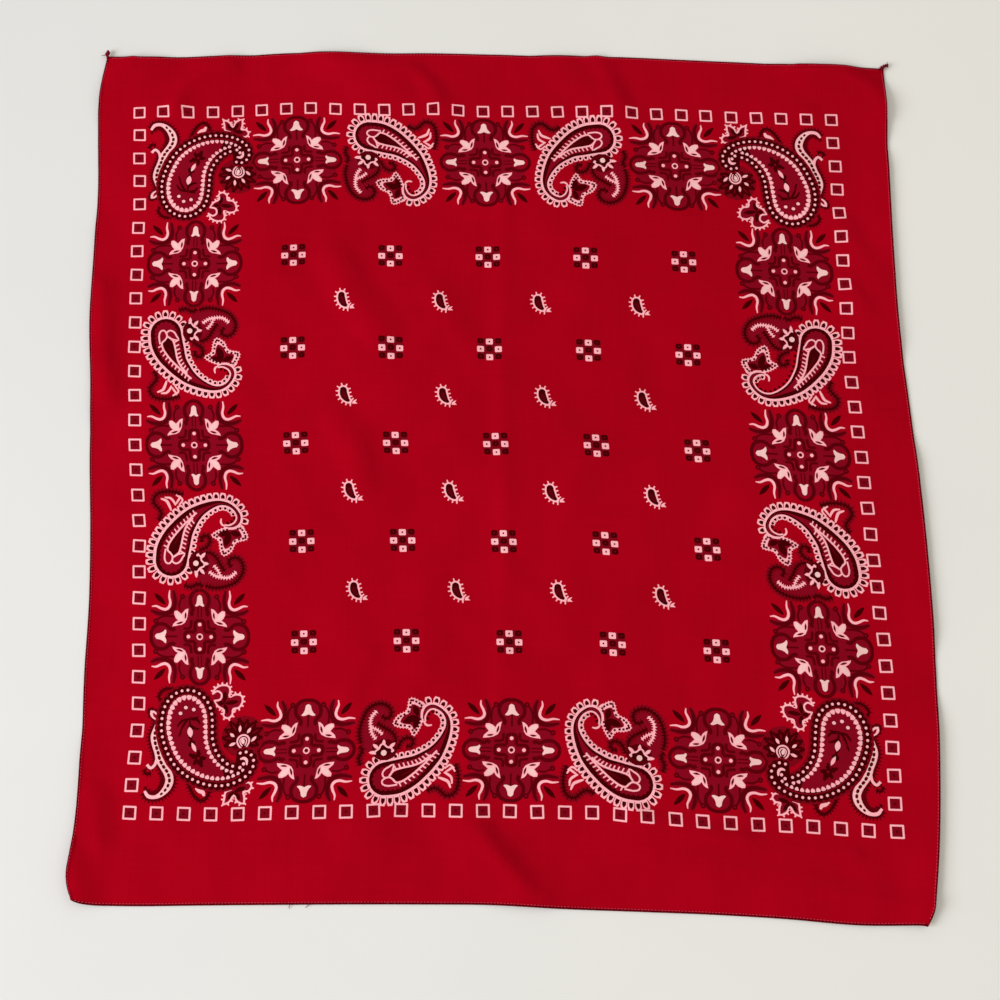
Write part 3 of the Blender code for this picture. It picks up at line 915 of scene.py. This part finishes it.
def swept(path, profile):
    """A profile carried along a path and closed at both ends by a point in its middle.

    The path's rows are places. The profile is an array of one ring per place, whose x is
    to the path's right, seen from above, and whose y is up.
    """
    ahead = np.gradient(path, axis=0)
    ahead /= np.linalg.norm(ahead, axis=1, keepdims=True)
    right = np.cross(ahead, (0.0, 0.0, 1.0))
    right /= np.linalg.norm(right, axis=1, keepdims=True)
    up = np.cross(right, ahead)
    rings = path[:, None] + profile[..., :1] * right[:, None] + profile[..., 1:] * up[:, None]
    points = np.vstack((rings.reshape(-1, 3), rings[0].mean(0), rings[-1].mean(0)))
    return points, tube_and_ends(*profile.shape[:2])


def joined(parts):
    """Several (points, faces) as one."""
    points, faces, count = [], [], 0
    for part_points, part_faces in parts:
        points.append(part_points)
        faces += [rows + count for rows in part_faces]
        count += len(part_points)
    return np.vstack(points), faces


# --------------------------------------------------------------------------- the cloth

# The spacing of the cloth's own points, and the least size of a shape that shows through.
EDGE_STEP = 6.0
FACE_STEP = 5.6
UNDER_STEP = 9.0
THROUGH_SPAN = 12.0

# How far an outline's point may be from the line between its neighbours and still go.
FACE_SLACK = 0.05
UNDER_SLACK = 0.3

# An outline's points this near are doubled ones.
DOUBLED = 0.02

# For the cutting: triangles inside the outlines only, and places this near are one.
INSIDE = 1
NEARNESS = 1e-6


def wound(points):
    """The outline without its doubled points, from its leftmost one, anticlockwise there."""
    points = points[np.linalg.norm(points - np.roll(points, 1, axis=0), axis=1) > DOUBLED]
    points = np.roll(points, -points[:, 0].argmin(), axis=0)
    (ahead_x, ahead_y), (back_x, back_y) = points[1] - points[0], points[-1] - points[0]
    return points if ahead_x * back_y > ahead_y * back_x else np.roll(points[::-1], 1, axis=0)


def eased(points, slack):
    """The outline without the points, of every second ones, that bend it less than slack."""
    for odd in (0, 1):
        back, ahead = np.roll(points, 1, axis=0), np.roll(points, -1, axis=0)
        run, off = ahead - back, points - back
        reach = np.maximum(np.linalg.norm(run, axis=1), 1e-6)
        bend = np.abs(run[:, 0] * off[:, 1] - run[:, 1] * off[:, 0]) / reach
        keep = (bend > slack) | (np.arange(len(points)) % 2 == odd)
        points = points[keep] if keep.sum() > 3 else points
    return points


def cut_face(edge, shapes, spacing):
    """Cuts the cloth's face into triangles along every edge of its print.

    Where shapes lie over each other, a triangle takes the ink of the uppermost one. Bare
    stretches get a point in each square of the spacing, so that the cloth can bend there.
    The points that fall outside the cloth are left out. It returns the corners' places, the
    triangles, their inks, and the edge's corners.
    """
    outlines = [edge] + [points for _, points in shapes]
    inks = np.array([RED] + [ink for ink, _ in shapes])
    ends = np.cumsum([len(points) for points in outlines])
    loops = [list(range(end - len(points), end)) for end, points in zip(ends, outlines)]
    corners = np.vstack(outlines)
    low, high = edge.min(axis=0) - spacing, edge.max(axis=0) + spacing
    columns, rows = (np.arange(a, b, spacing) for a, b in zip(low, high))
    held = np.histogram2d(*corners.T, bins=(columns, rows))[0] > 0
    column, row = np.nonzero(~held)
    bare = np.stack((columns[column], rows[row]), 1) + spacing / 2.0
    corners = np.vstack((corners, bare))
    cut = delaunay_2d_cdt(corners.tolist(), [], loops, INSIDE, NEARNESS)
    places, _, triangles, sources, _, covers = cut
    rim = {source: place for place, all_of in enumerate(sources) for source in all_of}
    used, triangles = np.unique(triangles, return_inverse=True)
    return (
        np.array([place[:] for place in places])[used],
        triangles.reshape(-1, 3),
        inks[[max(cover) for cover in covers]],
        np.searchsorted(used, [rim[place] for place in range(len(edge))]),
    )


def make_cloth(material):
    """The printed square: a closed thin shell with the print on both of its faces.

    The print shows through on the underside, where its finest shapes are lost.
    """
    edge = cloth_edge(CLOTH_INSET, EDGE_STEP)
    shapes = print_shapes()
    ends = np.cumsum([len(points) for _, points in shapes])
    plan = np.split(print_plan(np.vstack([points for _, points in shapes])), ends[:-1])
    shapes = [(ink, wound(eased(points, FACE_SLACK))) for (ink, _), points in zip(shapes, plan)]
    through = [
        (ink, wound(eased(eased(points, UNDER_SLACK), UNDER_SLACK)))
        for ink, points in shapes
        if ink in (RED, MAROON, DARK, PINK) and np.ptp(points, axis=0).max() > THROUGH_SPAN
    ]
    top, top_faces, top_inks, top_rim = cut_face(edge, shapes, FACE_STEP)
    under, under_faces, under_inks, under_rim = cut_face(edge, through, UNDER_STEP)
    creased = ridges(top, FOLDS) + ridges(top, CREASES) + CLOTH_WALL
    below, above = np.column_stack((under, ridges(under, FOLDS))), np.column_stack((top, creased))
    points = laid(np.vstack((below, above)))
    top_rim, top_faces = top_rim + len(under), top_faces + len(under)
    following = np.roll(np.arange(len(edge)), -1)
    rim = np.stack((under_rim, under_rim[following], top_rim[following], top_rim), 1)
    faces = [under_faces[:, ::-1], rim, top_faces]
    cloth = make_piece("printed_cloth", points, faces, material)
    inks = np.concatenate((under_inks, np.full(len(rim), RED), top_inks)).astype(float)
    cloth.data.attributes.new("ink", "FLOAT", "FACE").data.foreach_set("value", inks)
    low, high = points[:, :2].min(axis=0), points[:, :2].max(axis=0)
    flat = (points[:, :2] - low) / (high - low).max()
    wrap = cloth.data.uv_layers.new(name="OFBake")
    corner = np.empty(len(cloth.data.loops), int)
    cloth.data.loops.foreach_get("vertex_index", corner)
    wrap.data.foreach_set("uv", flat[corner].ravel())
    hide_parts("cloth_panel")
    return cloth


# ----------------------------------------------------------------------------- the hems

STITCH_PITCH = 2.1
STITCH_LENGTH = 1.4
STITCH_INSET = 1.55
THREAD = 0.42

# How high the stitches lie on the hem, as a part of its wall, how far they bow, and how
# unevenly they lie: in height, and their slant in degrees and how much it varies.
STITCH_SEAT = 0.80
STITCH_BOW = 0.16
STITCH_UNEVEN = 0.04
STITCH_SLANT = 7.0
STITCH_VARIES = 6.0

# A stitch's thickness from end to end, as parts of the thread's.
STITCH_GIRTHS = np.array((0.45, 0.9, 1.0, 0.9, 0.45))
STITCH_SIDES = 6

# Which way each side runs: where it starts and ends, across and up the cloth.
SIDES = {
    "bottom": ((0, 0), (1, 0)),
    "right": ((1, 0), (1, 1)),
    "top": ((1, 1), (0, 1)),
    "left": ((0, 1), (0, 0)),
}


def side_line(side, inset, step, short=0.0):
    """A line along one side of the cloth, anticlockwise, set in from its edge.

    inset is one number, or a row of them for so many lines side by side.
    """
    size = np.array((CLOTH_WIDTH, CLOTH_HEIGHT))
    start, end = np.array(SIDES[side], float)
    run = end - start
    length = np.abs(run) @ size
    inwards = np.multiply.outer(inset, np.array((-run[1], run[0])) / size)
    part = np.linspace(short / length, 1.0 - short / length, round((length - 2.0 * short) / step) + 1)
    flat = start + np.multiply.outer(part, run).reshape(len(part), *(1,) * np.ndim(inset), 2) + inwards
    return cloth_plan(flat[..., 0], flat[..., 1])


# How far in from the edge the points of the hem's rounded top lie, as parts of its width,
# and then those of its flat underside.
HEM_STATIONS = np.array((0.0, 0.03, 0.1, 0.22, 0.38, 0.55, 0.7, 0.85, 1.0))
HEM_UNDER = HEM_STATIONS[-2:0:-2]
HEM_MIDDLE = len(HEM_STATIONS) // 2

# The part of the hem's width over which its outer side rounds up.
HEM_ROUND = 0.22

# Waves along the hem, in its height and sideways: how large, how long, and how far on.
HEM_SWELLS = ((0.06, 9.7, 0.0), (0.05, 4.3, 1.9))
HEM_WAVERS = ((0.12, 2.9, 0.0), (0.1, 7.1, 0.7))

# From where to where across it the hem goes from a painted shade, dark along its rounded outer edge, to
# the cloth's red.
HEM_SHADE_FADE = ((0.42, 0.66), (0.0, 1.0))


def waves(place, table, level):
    """Sine waves about a level."""
    return sum((size * np.sin(place / length + on) for size, length, on in table), level)


def hem_top(inwards, along):
    """How high the hem stands, so far in from the cloth's edge and so far along it.

    It is a flat roll: a quarter round on its outer side, and on its inner one a smooth
    slope down into the cloth. Each stitch draws it in, and it is a little uneven.
    """
    outer = np.sqrt(1.0 - np.clip(1.0 - inwards / HEM_ROUND, 0.0, 1.0) ** 2)
    fall = np.clip((inwards - 0.4) / 0.6, 0.0, 1.0)
    inner = 1.0 - 0.7 * fall * fall * (3.0 - 2.0 * fall)
    drawn = 1.0 - 0.09 * np.cos(2.0 * np.pi * along / STITCH_PITCH)
    return HEM_WALL * outer * inner * drawn * waves(along, HEM_SWELLS, 1.0)


def make_hem(side, material):
    """One hem: the edge turned over twice, as a flat roll along one side."""
    short = 0.0 if side in ("top", "bottom") else HEM_WIDTH
    stations = np.concatenate((HEM_STATIONS, HEM_UNDER))
    plan = side_line(side, HEM_WIDTH * stations, STITCH_PITCH / 3.0, short)
    steps = np.linalg.norm(np.diff(plan[:, 0], axis=0), axis=1)
    along_edge = np.concatenate(([0.0], np.cumsum(steps)))[:, None]
    fold, crease = (ridges(plan[:, HEM_MIDDLE], table)[:, None] for table in (FOLDS, CREASES))
    top = hem_top(HEM_STATIONS, along_edge) + crease * np.clip(HEM_STATIONS / HEM_ROUND, 0.0, 1.0)
    height = fold + np.hstack((top, np.zeros((len(plan), len(HEM_UNDER)))))
    waver = waves(along_edge, HEM_WAVERS, 0.0)
    inwards = plan[:, 2 * HEM_MIDDLE] - plan[:, 0]
    inwards /= np.linalg.norm(inwards, axis=1, keepdims=True)
    plan = plan + (waver * (stations > 0.5))[..., None] * inwards[:, None]
    count, sides = height.shape
    points = np.column_stack((plan.reshape(-1, 2), height.ravel()))
    ends = points.reshape(count, sides, 3)[[0, -1]].mean(axis=1)
    points = laid(np.vstack((points, ends)))
    hem = make_piece(f"hem_roll_{side}", points, tube_and_ends(count, sides), material)
    # Each point's share of the cloth's red: the rest is painted shade along the hem's rounded outer
    # edge.
    inks = np.concatenate((np.tile(np.interp(stations, *HEM_SHADE_FADE), count), (0.5, 0.5)))
    hem.data.attributes.new("ink", "FLOAT", "POINT").data.foreach_set("value", inks)
    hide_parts(f"hem_{side}")
    return hem


def make_stitches(side, material):
    """The row of stitches along one hem: short bowed threads, each a little aslant."""
    line = side_line(side, STITCH_INSET, 1.0, 1.5 * HEM_WIDTH)
    place, ahead, _, _ = along(line, STITCH_PITCH)
    left = np.stack((-ahead[:, 1], ahead[:, 0]), 1)
    spread = np.random.default_rng(len(side)).uniform(-1.0, 1.0, (3, len(place)))
    slant = np.radians(STITCH_SLANT + STITCH_VARIES * spread[0])[:, None]
    ahead = ahead * np.cos(slant) + left * np.sin(slant)
    count = len(STITCH_GIRTHS)
    part = np.linspace(-0.5, 0.5, count)
    reach = part * STITCH_LENGTH
    girth = STITCH_GIRTHS * THREAD / 2.0
    bow = np.broadcast_to(STITCH_BOW * np.cos(part * np.pi), (len(place), count))
    turn = np.arange(STITCH_SIDES) / STITCH_SIDES * 2.0 * np.pi
    seat = HEM_WALL * STITCH_SEAT + ridges(place, FOLDS) + ridges(place, CREASES)
    seat = seat + STITCH_UNEVEN * spread[1]
    off = np.stack((ahead[:, :1] * reach, ahead[:, 1:] * reach, bow), -1)
    middle = np.column_stack((place, seat))[:, None] + off
    right = np.column_stack((ahead[:, 1], -ahead[:, 0], np.zeros(len(place))))
    rings = (
        middle[:, :, None]
        + (girth[:, None] * np.cos(turn))[None, :, :, None] * right[:, None, None]
        + (girth[:, None] * np.sin(turn))[None, :, :, None] * (0.0, 0.0, 1.0)
    )
    first = np.arange(len(place)) * count * STITCH_SIDES
    sides = (first[:, None, None] + tube_faces(count, STITCH_SIDES)).reshape(-1, 4)
    ring = np.arange(STITCH_SIDES)
    caps = first[:, None] + np.concatenate((ring, (count - 1) * STITCH_SIDES + ring[::-1]))
    faces = [sides, caps.reshape(-1, STITCH_SIDES)]
    points = laid(rings.reshape(-1, 3))
    return make_piece(f"hem_stitches_{side}", points, faces, material)


# Each loose end: the places it runs through, its thickness at even steps, how many strands it
# has, and how far they twist.
THREAD_ENDS = {
    "top left knot": (
        (
            (-281.4, 294.6, 1.6), (-280.8, 295.9, 2.4), (-281.4, 297.4, 2.6), (-280.7, 299.1, 2.4),
            (-281.3, 301.0, 1.7),
        ),
        (1.0, 1.7, 2.3, 2.3, 0.9), 3, 9.0,
    ),
    "top left whisker": (
        ((-281.5, 296.9, 2.4), (-283.5, 297.3, 1.7), (-285.0, 297.5, 1.0), (-286.3, 297.9, 0.6)),
        (0.5, 0.35, 0.2), 1, 0.0,
    ),
    "top right tail": (
        (
            (267.6, 283.2, 2.2), (269.2, 284.4, 2.8), (271.0, 285.9, 2.2), (272.6, 286.4, 1.6),
            (273.0, 285.0, 1.0),
        ),
        (2.6, 2.4, 1.9, 1.7, 0.8), 2, 16.0,
    ),
    "top right whisker": (
        ((272.0, 286.3, 2.0), (272.8, 287.7, 1.6), (272.7, 289.4, 1.0)),
        (0.6, 0.45, 0.3), 1, 0.0,
    ),
    "bottom end": (
        ((-127.8, -289.9, 1.2), (-127.3, -291.3, 1.1), (-127.8, -292.3, 0.6), (-127.3, -293.2, 0.3)),
        (0.45, 0.4, 0.25), 1, 0.0,
    ),
    "bottom second end": (
        ((-114.8, -289.6, 1.2), (-115.4, -290.7, 1.1), (-116.5, -291.7, 0.6), (-117.5, -292.5, 0.3)),
        (0.45, 0.4, 0.25), 1, 0.0,
    ),
}


# Where an end has several strands: how thick each is and how far off, as parts of the end.
STRAND_GIRTH = 0.7
STRAND_OFFSET = 0.62
END_SIDES = 8


def thread_end(knots, girths, strands, twist):
    """Threads along a smooth line: their thickness at even steps, wound round it if several."""
    line = curve(knots, 8)
    part = np.linspace(0.0, 1.0, len(line))
    girth = np.interp(part, np.linspace(0.0, 1.0, len(girths)), girths) / 2.0
    turn = np.arange(END_SIDES) / END_SIDES * 2.0 * np.pi
    ring = girth[:, None, None] * np.stack((np.cos(turn), np.sin(turn)), 1)[None]
    thick, far = (STRAND_GIRTH, STRAND_OFFSET) if strands > 1 else (1.0, 0.0)
    parts = []
    for strand in range(strands):
        angle = twist * part + 2.0 * np.pi * strand / strands
        offset = far * girth[:, None] * np.stack((np.cos(angle), np.sin(angle)), 1)
        parts.append(swept(line, ring * thick + offset[:, None]))
    return joined(parts)


def make_thread_ends(material):
    """The knots and loose ends that the hem's sewing leaves at the corners and below."""
    points, faces = joined([thread_end(*one) for one in THREAD_ENDS.values()])
    return make_piece("thread_ends", laid(points), faces, material)


# ------------------------------------------------------------------------ the finishes


class Wire:
    """A number in a material's nodes; sums with it add Math nodes."""

    def __init__(self, socket):
        self.socket = socket

    def reckon(self, way, first, second):
        node = self.socket.id_data.nodes.new("ShaderNodeMath")
        node.operation = way
        for put, number in zip(node.inputs, (first, second)):
            plug(put, number)
        return Wire(node.outputs[0])

    def __add__(self, other):
        return self.reckon("ADD", self, other)

    def __radd__(self, other):
        return self.reckon("ADD", other, self)

    def __sub__(self, other):
        return self.reckon("SUBTRACT", self, other)

    def __rsub__(self, other):
        return self.reckon("SUBTRACT", other, self)

    def __mul__(self, other):
        return self.reckon("MULTIPLY", self, other)

    def __rmul__(self, other):
        return self.reckon("MULTIPLY", other, self)

    def __truediv__(self, other):
        return self.reckon("DIVIDE", self, other)


def plug(socket, value):
    """Links a wire to a socket, or sets the socket to a value."""
    if isinstance(value, Wire):
        socket.id_data.links.new(value.socket, socket)
    else:
        socket.default_value = value


class Finish:
    """A material, whose nodes are added by their type."""

    def __init__(self, name):
        self.material = bpy.data.materials.new(name)
        self.material.use_nodes = True
        self.tree = self.material.node_tree
        self.shader = self.tree.nodes["Principled BSDF"]

    def node(self, kind, settings=None, sockets=None, output=0):
        """Adds a node: its settings first, then its sockets' values or wires."""
        node = self.tree.nodes.new("ShaderNode" + kind)
        for setting, value in (settings or {}).items():
            if setting == "stops":
                for spare in range(len(value) - 2):
                    node.color_ramp.elements.new(0.5)
                for stop, (place, colour) in zip(node.color_ramp.elements, value):
                    stop.position, stop.color = place, colour
            elif setting == "interpolation":
                node.color_ramp.interpolation = value
            else:
                setattr(node, setting, value)
        for socket, value in (sockets or {}).items():
            plug(node.inputs[socket], value)
        return Wire(node.outputs[output])

    def mix(self, share, first, second, blend="MIX"):
        """Two colours mixed by a share."""
        settings = {"data_type": "RGBA", "blend_type": blend}
        return self.node("Mix", settings, {"Factor": share, "A": first, "B": second}, "Result")

    def noise(self, places, scale, detail=2.0, stretch=(1.0, 1.0, 1.0)):
        """Cloudy noise from 0 to 1 over the places, drawn out along the axes."""
        drawn = self.node("VectorMath", {"operation": "MULTIPLY"}, {0: places, 1: stretch})
        return self.node("TexNoise", {}, {"Vector": drawn, "Scale": scale, "Detail": detail})


# How fine each grain of the cotton is, as its cells to a metre, and how far the threads'
# grain is drawn out along them.
THREAD_GRAIN = 520.0
FIBRE_GRAIN = 1500.0
DYE_GRAIN = 9.0
RUMPLE_GRAIN = 26.0
DRAWN_OUT = 0.05

# How high the fibres and the rumples stand beside a thread, and how high a thread does.
FIBRE_RISE = 0.35
RUMPLE_RISE = 64.0
THREAD_RISE = 0.3 * MM


def cotton(name, colours, shade, threads=1.0):
    """Matte plain-weave cotton: slubs along both threads, patchy dye, rumples, and its inks.

    colours are those of the inks by number, or the two that a number from 0 to 1 blends.
    threads is how thick its threads are, beside those of the printed cloth.
    """
    finish = Finish(name)
    places = finish.node("TexCoord", output="Object")
    weft = finish.noise(places, THREAD_GRAIN, 1.0, (DRAWN_OUT, 1.0, 1.0))
    warp = finish.noise(places, THREAD_GRAIN, 1.0, (1.0, DRAWN_OUT, 1.0))
    fibre = finish.noise(places, FIBRE_GRAIN, 2.0)
    patches = finish.noise(places, DYE_GRAIN, 3.0)
    rumples = finish.noise(places, RUMPLE_GRAIN, 0.5)
    weave = (weft + warp) * 0.5
    ink = finish.node("Attribute", {"attribute_name": "ink"}, output="Fac")
    if len(colours) > 2:
        stops = [(number / len(colours), colour) for number, colour in enumerate(colours)]
        place = (ink + 0.5) / len(colours)
        colour = finish.node("ValToRGB", {"stops": stops, "interpolation": "CONSTANT"}, {"Fac": place})
    else:
        # On the hems the first colour is a painted shade, and the number blends it into the red.
        colour = finish.mix(ink, *colours)
    deeper = finish.mix(1.0, colour, shade, "MULTIPLY")
    uneven = (weave - 0.5) * 0.7 + (fibre - 0.5) * 0.5 + (patches - 0.5) * 0.9
    tone = finish.mix(0.45 - uneven, colour, deeper)
    plug(finish.shader.inputs["Base Color"], tone)
    plug(finish.shader.inputs["Roughness"], 0.94 - 0.16 * weave)
    height = weave + fibre * FIBRE_RISE + rumples * RUMPLE_RISE
    rise = THREAD_RISE * threads
    bump = finish.node("Bump", {}, {"Strength": 0.25, "Distance": rise, "Height": height})
    plug(finish.shader.inputs["Normal"], bump)
    plug(finish.shader.inputs["Specular IOR Level"], 0.005)
    return finish.material


def thread(name, colour, shade):
    """Twisted sewing cotton: slanting plies, matte, with lighter and darker stretches."""
    finish = Finish(name)
    places = finish.node("TexCoord", output="Object")
    plies = finish.node(
        "TexWave",
        {"wave_type": "BANDS", "bands_direction": "DIAGONAL"},
        {"Vector": places, "Scale": 900.0, "Distortion": 1.5},
        "Fac",
    )
    worn = finish.noise(places, 160.0)
    plug(finish.shader.inputs["Base Color"], finish.mix(0.25 + plies * 0.3 + worn * 0.3, colour, shade))
    plug(finish.shader.inputs["Roughness"], 0.9 - 0.15 * worn)
    bump = finish.node("Bump", {}, {"Strength": 0.4, "Distance": 0.0001, "Height": plies})
    plug(finish.shader.inputs["Normal"], bump)
    plug(finish.shader.inputs["Specular IOR Level"], 0.1)
    return finish.material


def paper(name, colour, shade):
    """The pale board that the cloth lies on, a little paler towards the right: painted shade darkens
    its left side, where the window's light is strongest.
    """
    finish = Finish(name)
    places = finish.node("TexCoord", output="Object")
    across = finish.node("SeparateXYZ", {}, {"Vector": places})
    # Painted shade: the share of the darker colour grows towards the left, against the window's light.
    share = finish.noise(places, 5.0, 3.0) * 0.4 + 0.3 - across * 1.3
    plug(finish.shader.inputs["Base Color"], finish.mix(share, colour, shade))
    plug(finish.shader.inputs["Roughness"], 0.85 + 0.1 * finish.noise(places, 60.0))
    plug(finish.shader.inputs["Specular IOR Level"], 0.2)
    return finish.material


# The inks by number: red, rose, crimson, maroon, dark, pink and cream.
INKS = (
    (0.377, 0.0004, 0.009, 1.0), (0.235, 0.0026, 0.0127, 1.0), (0.205, 0.0022, 0.0088, 1.0),
    (0.100, 0.0007, 0.0038, 1.0), (0.055, 0.0004, 0.0015, 1.0), (1.0, 0.49, 0.52, 1.0),
    (0.90, 0.60, 0.55, 1.0),
)
DYE_SHADE = (0.80, 0.62, 0.68, 1.0)

printed_cotton = cotton("printed_cotton", INKS, DYE_SHADE)
# The hem's first colour is painted shade, dark along its rounded outer edge. The second is the cloth's
# red.
hem_cotton = cotton("hem_cotton", ((0.12, 0.0004, 0.004, 1.0), INKS[RED]), DYE_SHADE, 1.3)
hem_thread = thread("hem_thread", (0.80, 0.08, 0.13, 1.0), (0.55, 0.012, 0.04, 1.0))
end_thread = thread("end_thread", (0.26, 0.001, 0.020, 1.0), (0.12, 0.0006, 0.008, 1.0))

# ------------------------------------------------------------------------ putting it up

cloth = make_cloth(printed_cotton)
hems = [make_hem(side, hem_cotton) for side in SIDES]
stitches = [make_stitches(side, hem_thread) for side in SIDES]
ends = make_thread_ends(end_thread)

# ------------------------------------------------------------------ the board and the light

# The board that it lies on, in metres, just below the lowest point.
BOARD_SIZE = 6.0
BOARD_DROP = 0.3 * MM
# The board's pale colour, and the darker one painted in as shade towards its left.
BOARD_COLOUR_AND_PAINTED_SHADE = ((0.778, 0.770, 0.727, 1.0), (0.664, 0.657, 0.635, 1.0))

bpy.ops.mesh.primitive_plane_add(size=BOARD_SIZE, location=(0.0, 0.0, -BOARD_DROP))
floor = bpy.context.object
floor.name = "pale_board"
floor.data.materials.append(paper("pale_board", *BOARD_COLOUR_AND_PAINTED_SHADE))

SKY_COLOUR = (1.0, 0.955, 0.87, 1.0)
SKY_STRENGTH = 0.573

world = bpy.context.scene.world or bpy.data.worlds.new("studio")
bpy.context.scene.world = world
world.use_nodes = True
sky = world.node_tree.nodes["Background"]
sky.inputs["Color"].default_value = SKY_COLOUR
sky.inputs["Strength"].default_value = SKY_STRENGTH

# name, place, size, power and colour of each soft box, which points at the cloth's middle
SOFT_BOXES = (
    ("window", (-1.95, -0.62, 1.38), 1.5, 54.5, (0.97, 0.995, 1.08)),
    ("fill", (1.6, 1.2, 2.2), 2.2, 11.5, (1.0, 0.98, 0.93)),
)
for name, place, size, power, colour in SOFT_BOXES:
    light = bpy.data.lights.new(name, "AREA")
    light.color = colour
    light.size = size
    light.energy = power
    lamp = bpy.data.objects.new(name, light)
    lamp.location = place
    lamp.rotation_euler = (-lamp.location).to_track_quat("-Z", "Y").to_euler()
    bpy.context.scene.collection.objects.link(lamp)

# The camera's place in metres, its turn, and its sensor and lens in millimetres.
CAMERA_PLACE = (0.03437, -0.26823, 1.037)
CAMERA_TURN = np.radians((13.0653, 1.6201, 0.5400))
SENSOR_WIDTH = 36.0
LENS = 57.6

camera = bpy.data.objects.new("camera", bpy.data.cameras.new("camera"))
camera.location = CAMERA_PLACE
camera.rotation_euler = Euler(CAMERA_TURN)
camera.data.sensor_width = SENSOR_WIDTH
camera.data.lens = LENS
bpy.context.scene.collection.objects.link(camera)
bpy.context.scene.camera = camera
bpy.context.scene.view_settings.view_transform = "Standard"
